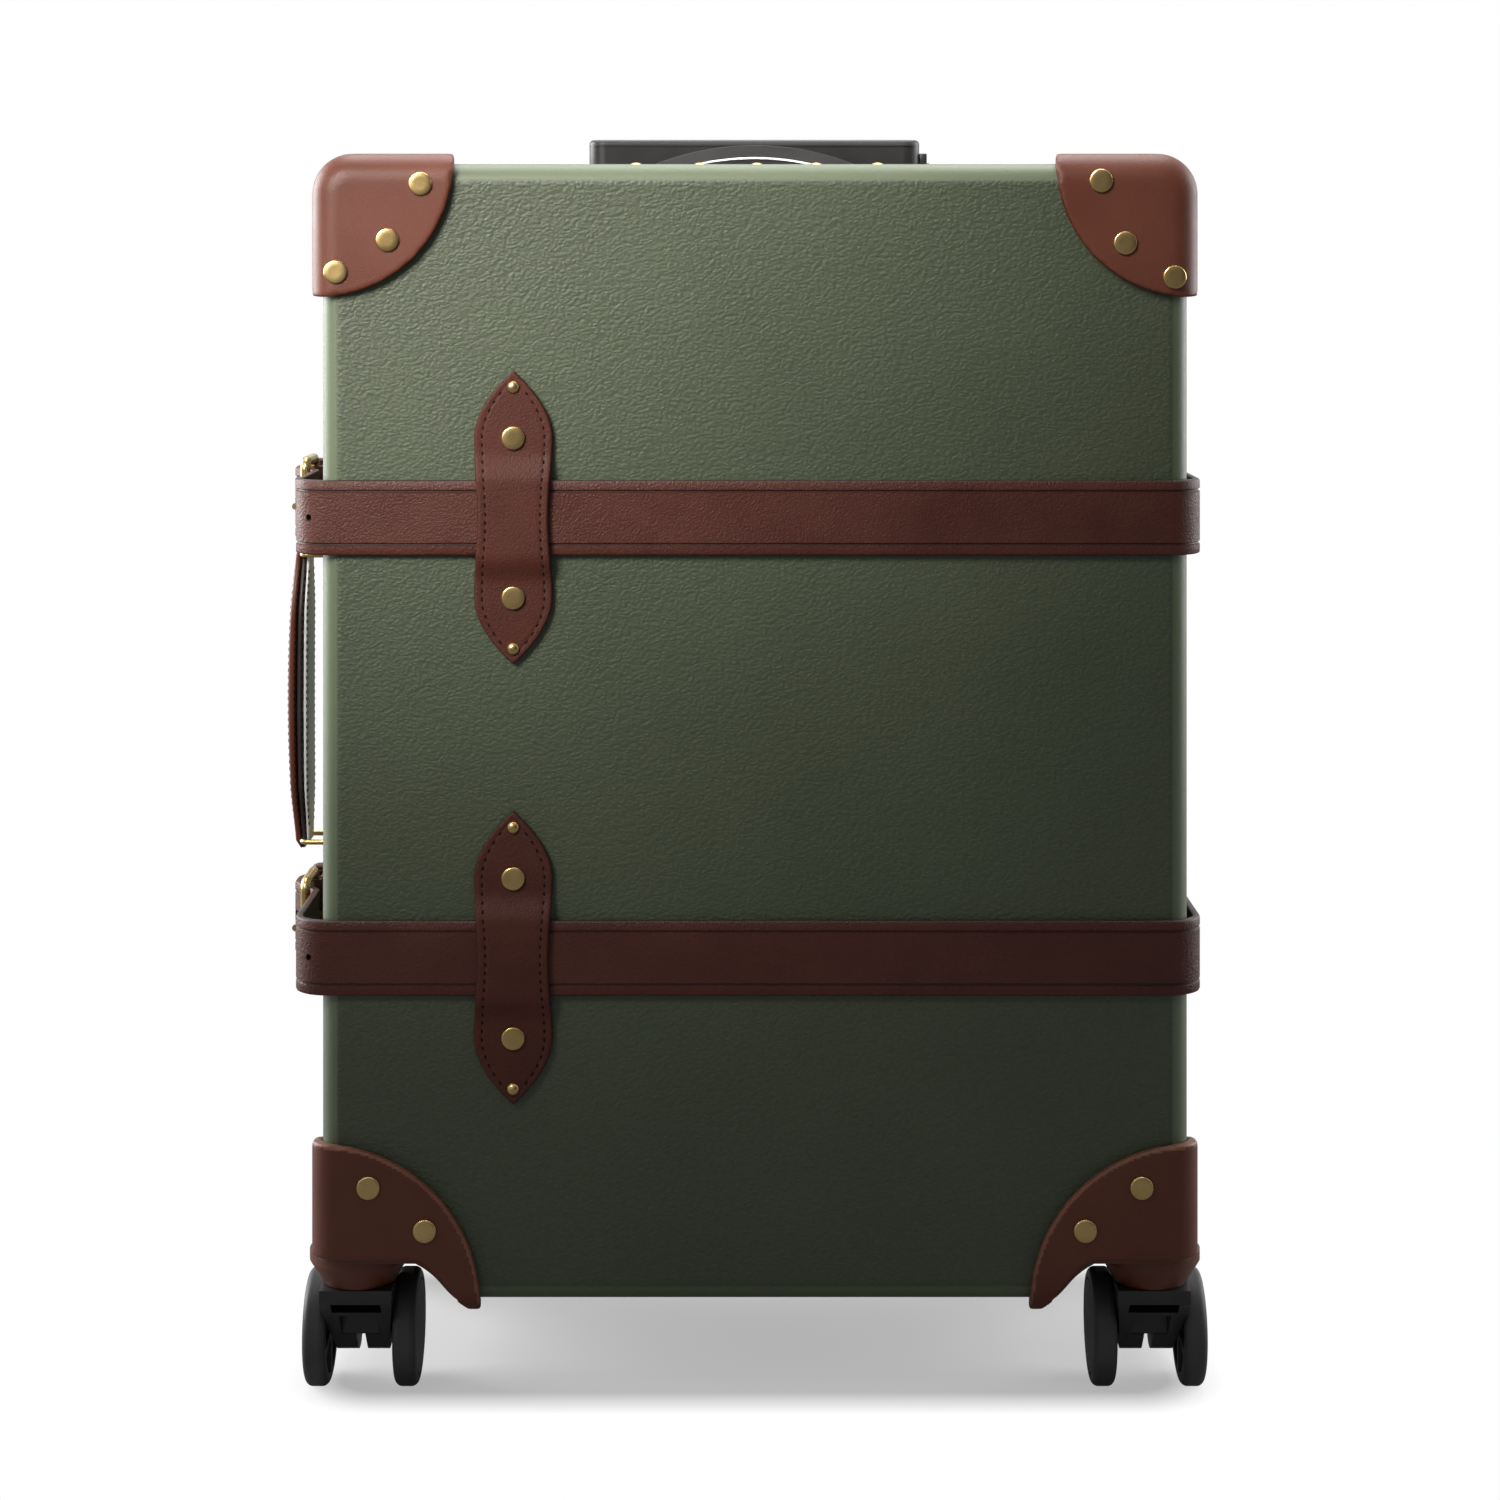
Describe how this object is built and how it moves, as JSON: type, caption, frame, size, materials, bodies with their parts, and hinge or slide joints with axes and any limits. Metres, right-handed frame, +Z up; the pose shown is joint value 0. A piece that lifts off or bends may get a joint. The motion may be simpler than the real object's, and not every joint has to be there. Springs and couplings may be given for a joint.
{
  "type": "suitcase",
  "caption": "Upright wheeled suitcase: fibreboard case with leather corners and buckled belts, hinged front, side and top carry handles, telescopic trolley and swivel casters.",
  "frame": {"origin": "point on the floor under the middle of the case", "axes": "+Z up, +Y from the hinged front to the back, +X to the right as seen from the front"},
  "size_m": [0.4104, 0.2276, 0.551],
  "materials": {
    "fibreboard": "pebbled vulcanised fibreboard, satin dark green",
    "leather": "smooth brown bridle leather",
    "brown_moulding": "brown moulded housing",
    "tyre": "black moulded wheel",
    "black_moulding": "black moulding, satin",
    "aluminium": "anodised drawn tube",
    "brass": "polished brass"
  },
  "bodies": {
    "base": {"base_shell": "fibreboard", "base_valance": "fibreboard", "base_corner_top_left": "leather", "base_corner_top_right": "leather", "base_corner_bottom_left": "leather", "base_corner_bottom_right": "leather", "rear_wheel_housings": "brown_moulding", "base_rivets": "brass", "upper_strap_rear": "leather", "lower_strap_rear": "leather", "upper_buckle_frame": "brass", "lower_buckle_frame": "brass", "carry_handle_brackets": "brass", "lock_plates": "brass", "base_hinge_leaves": "brass", "trolley_outer_tubes": "aluminium", "trolley_tray": "black_moulding", "top_handle_tray": "black_moulding"},
    "lid": {"lid_shell": "fibreboard", "lid_corner_top_left": "leather", "lid_corner_top_right": "leather", "lid_corner_bottom_left": "leather", "lid_corner_bottom_right": "leather", "front_wheel_housings": "brown_moulding", "lid_rivets": "brass", "upper_strap_front": "leather", "lower_strap_front": "leather", "upper_strap_tail": "leather", "lower_strap_tail": "leather", "strap_hinge_bends": "leather", "upper_strap_tab": "leather", "lower_strap_tab": "leather", "lid_hinge_leaves": "brass", "hasp_plates": "brass"},
    "front_left_swivel": {"front_left_fork": "black_moulding"},
    "front_left_wheel_a": {"front_left_wheel_a": "tyre"},
    "front_left_wheel_b": {"front_left_wheel_b": "tyre"},
    "front_right_swivel": {"front_right_fork": "black_moulding"},
    "front_right_wheel_a": {"front_right_wheel_a": "tyre"},
    "front_right_wheel_b": {"front_right_wheel_b": "tyre"},
    "rear_left_swivel": {"rear_left_fork": "black_moulding"},
    "rear_left_wheel_a": {"rear_left_wheel_a": "tyre"},
    "rear_left_wheel_b": {"rear_left_wheel_b": "tyre"},
    "rear_right_swivel": {"rear_right_fork": "black_moulding"},
    "rear_right_wheel_a": {"rear_right_wheel_a": "tyre"},
    "rear_right_wheel_b": {"rear_right_wheel_b": "tyre"},
    "upper_prong": {"upper_buckle_prong": "brass"},
    "upper_hasp": {"upper_lock_hasp": "brass"},
    "upper_slide": {"upper_lock_slide": "brass"},
    "lower_prong": {"lower_buckle_prong": "brass"},
    "lower_hasp": {"lower_lock_hasp": "brass"},
    "lower_slide": {"lower_lock_slide": "brass"},
    "carry_ring_upper": {"carry_ring_upper": "brass"},
    "carry_ring_lower": {"carry_ring_lower": "brass"},
    "carry_handle": {"carry_handle": "leather"},
    "trolley_middle": {"trolley_middle_tubes": "aluminium"},
    "trolley_inner": {"trolley_inner_tubes": "aluminium", "trolley_grip": "black_moulding"},
    "trolley_button": {"trolley_button": "black_moulding"},
    "top_handle": {"top_handle": "black_moulding"}
  },
  "joints": [
    {"name": "lid_hinge", "type": "hinge", "parent": "base", "child": "lid", "pos_m": [0.1884, -0.025, 0.2918], "axis": [0, 0, 1], "range_deg": [0, 100], "deforming": ["upper_strap_tail", "lower_strap_tail", "strap_hinge_bends"]},
    {"name": "front_left_swivel", "type": "hinge", "parent": "lid", "child": "front_left_swivel", "pos_m": [-0.1715, -0.078, 0.05], "axis": [0, 0, 1], "continuous": true},
    {"name": "front_left_wheel_a_spin", "type": "hinge", "parent": "front_left_swivel", "child": "front_left_wheel_a", "pos_m": [-0.191, -0.06, 0.025], "axis": [1, 0, 0], "continuous": true},
    {"name": "front_left_wheel_b_spin", "type": "hinge", "parent": "front_left_swivel", "child": "front_left_wheel_b", "pos_m": [-0.152, -0.06, 0.025], "axis": [1, 0, 0], "continuous": true},
    {"name": "front_right_swivel", "type": "hinge", "parent": "lid", "child": "front_right_swivel", "pos_m": [0.1715, -0.078, 0.05], "axis": [0, 0, 1], "continuous": true},
    {"name": "front_right_wheel_a_spin", "type": "hinge", "parent": "front_right_swivel", "child": "front_right_wheel_a", "pos_m": [0.152, -0.06, 0.025], "axis": [1, 0, 0], "continuous": true},
    {"name": "front_right_wheel_b_spin", "type": "hinge", "parent": "front_right_swivel", "child": "front_right_wheel_b", "pos_m": [0.191, -0.06, 0.025], "axis": [1, 0, 0], "continuous": true},
    {"name": "rear_left_swivel", "type": "hinge", "parent": "base", "child": "rear_left_swivel", "pos_m": [-0.1715, 0.078, 0.05], "axis": [0, 0, 1], "continuous": true},
    {"name": "rear_left_wheel_a_spin", "type": "hinge", "parent": "rear_left_swivel", "child": "rear_left_wheel_a", "pos_m": [-0.191, 0.096, 0.025], "axis": [1, 0, 0], "continuous": true},
    {"name": "rear_left_wheel_b_spin", "type": "hinge", "parent": "rear_left_swivel", "child": "rear_left_wheel_b", "pos_m": [-0.152, 0.096, 0.025], "axis": [1, 0, 0], "continuous": true},
    {"name": "rear_right_swivel", "type": "hinge", "parent": "base", "child": "rear_right_swivel", "pos_m": [0.1715, 0.078, 0.05], "axis": [0, 0, 1], "continuous": true},
    {"name": "rear_right_wheel_a_spin", "type": "hinge", "parent": "rear_right_swivel", "child": "rear_right_wheel_a", "pos_m": [0.152, 0.096, 0.025], "axis": [1, 0, 0], "continuous": true},
    {"name": "rear_right_wheel_b_spin", "type": "hinge", "parent": "rear_right_swivel", "child": "rear_right_wheel_b", "pos_m": [0.191, 0.096, 0.025], "axis": [1, 0, 0], "continuous": true},
    {"name": "upper_prong", "type": "hinge", "parent": "base", "child": "upper_prong", "pos_m": [-0.2002, -0.014, 0.384], "axis": [0, 0, -1], "range_deg": [0, 110]},
    {"name": "upper_hasp", "type": "hinge", "parent": "lid", "child": "upper_hasp", "pos_m": [-0.1882, -0.039, 0.4388], "axis": [0, 0, 1], "range_deg": [0, 100]},
    {"name": "upper_slide", "type": "slide", "parent": "base", "child": "upper_slide", "axis": [0, 0, -1], "range_m": [0, 0.006], "stiffness_N_per_m": 40},
    {"name": "lower_prong", "type": "hinge", "parent": "base", "child": "lower_prong", "pos_m": [-0.2002, -0.014, 0.1964], "axis": [0, 0, -1], "range_deg": [0, 110]},
    {"name": "lower_hasp", "type": "hinge", "parent": "lid", "child": "lower_hasp", "pos_m": [-0.1882, -0.039, 0.1448], "axis": [0, 0, 1], "range_deg": [0, 100]},
    {"name": "lower_slide", "type": "slide", "parent": "base", "child": "lower_slide", "axis": [0, 0, -1], "range_m": [0, 0.006], "stiffness_N_per_m": 40},
    {"name": "carry_ring_upper", "type": "hinge", "parent": "base", "child": "carry_ring_upper", "pos_m": [-0.1895, 0.01, 0.3581], "axis": [0, 1, 0], "range_deg": [-12, 12]},
    {"name": "carry_ring_lower", "type": "hinge", "parent": "base", "child": "carry_ring_lower", "pos_m": [-0.1895, 0.01, 0.2263], "axis": [0, 1, 0], "range_deg": [-12, 12]},
    {"name": "carry_handle", "type": "hinge", "parent": "carry_ring_upper", "child": "carry_handle", "pos_m": [-0.208, 0.01, 0.3581], "axis": [0, 1, 0], "range_deg": [-12, 12]},
    {"name": "trolley_lower_stage", "type": "slide", "parent": "base", "child": "trolley_middle", "axis": [0, 0, 1], "range_m": [0, 0.235]},
    {"name": "trolley_upper_stage", "type": "slide", "parent": "trolley_middle", "child": "trolley_inner", "axis": [0, 0, 1], "range_m": [0, 0.235]},
    {"name": "trolley_button", "type": "slide", "parent": "trolley_inner", "child": "trolley_button", "axis": [0, 0, -1], "range_m": [0, 0.003], "stiffness_N_per_m": 300},
    {"name": "top_handle_lift", "type": "slide", "parent": "base", "child": "top_handle", "axis": [0, 0, 1], "range_m": [0, 0.012]}
  ],
  "couplings": [
    {"joint": "carry_ring_lower", "follows": "carry_ring_upper", "ratio": 1},
    {"joint": "carry_handle", "follows": "carry_ring_upper", "ratio": -1}
  ]
}
